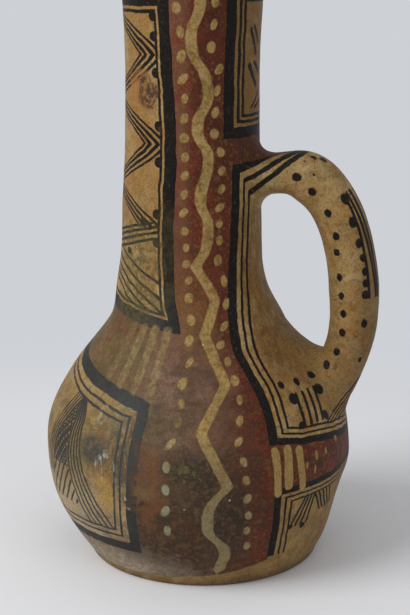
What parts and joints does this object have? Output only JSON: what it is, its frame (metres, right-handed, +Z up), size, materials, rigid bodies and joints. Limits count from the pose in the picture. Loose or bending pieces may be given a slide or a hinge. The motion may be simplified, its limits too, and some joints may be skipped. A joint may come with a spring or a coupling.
{
  "type": "vase",
  "caption": "Round-bellied earthenware vase with a tall slim neck, a looped side handle and painted geometric panels.",
  "frame": {"origin": "centre of the base, on the surface the vase stands on", "axes": "+Z up, +X from the vessel's axis towards the handle, +Y away from the viewer when the handle is on the right"},
  "size_m": [0.1824, 0.168, 0.343],
  "materials": {
    "cream_slip": "burnished cream slip with dark painted lines",
    "red_slip": "burnished red-brown slip with cream painted marks",
    "bare_clay": "unpainted low-fired clay"
  },
  "bodies": {
    "root": {"base_slab": "bare_clay", "lower_belly_wall": "red_slip", "upper_belly_wall": "red_slip", "foot_wall": "red_slip", "shoulder_wall": "cream_slip", "lower_neck_wall": "cream_slip", "upper_neck_wall": "red_slip", "mouth_wall": "red_slip", "lip_coil": "bare_clay", "handle_roll": "cream_slip", "upper_handle_lute": "cream_slip", "lower_handle_lute": "cream_slip", "upper_peg_wad": "bare_clay", "lower_peg_wad": "bare_clay"}
  },
  "joints": []
}
